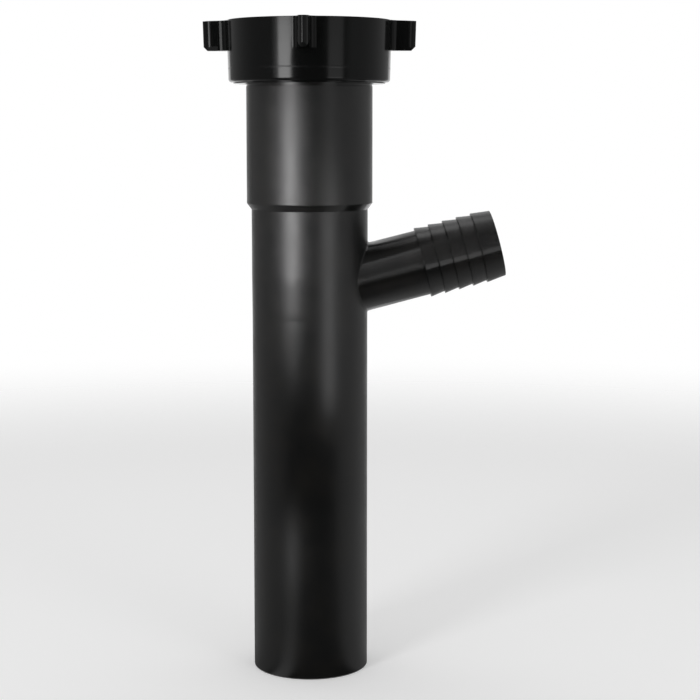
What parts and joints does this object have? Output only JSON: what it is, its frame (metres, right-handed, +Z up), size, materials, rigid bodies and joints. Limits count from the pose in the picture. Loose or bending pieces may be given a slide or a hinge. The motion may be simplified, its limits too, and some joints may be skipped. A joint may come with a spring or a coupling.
{
  "type": "dishwasher branch tailpiece",
  "caption": "Straight drain tailpiece with a bell top, a free-turning winged coupling nut and a slanted barbed side branch for a dishwasher drain hose.",
  "frame": {"origin": "centre of the tube's cut lower end, on which the part stands", "axes": "+Z up along the tube axis towards the coupling nut; the barbed branch leaves towards +X; the camera of the picture looks along +Y"},
  "size_m": [0.0996, 0.0696, 0.2153],
  "materials": {
    "tube_plastic": "moulded black drain plastic, satin with a blurred sheen",
    "nut_plastic": "moulded black drain plastic, glossier than the tube",
    "washer_plastic": "soft natural polyethylene"
  },
  "bodies": {
    "tailpiece": {"tailpiece_body": "tube_plastic", "sealing_washer": "washer_plastic"},
    "nut": {"coupling_nut": "nut_plastic"}
  },
  "joints": [
    {"name": "nut_spin", "type": "hinge", "parent": "tailpiece", "child": "nut", "pos_m": [0, 0, 0.1988], "axis": [0, 0, 1], "continuous": true}
  ]
}
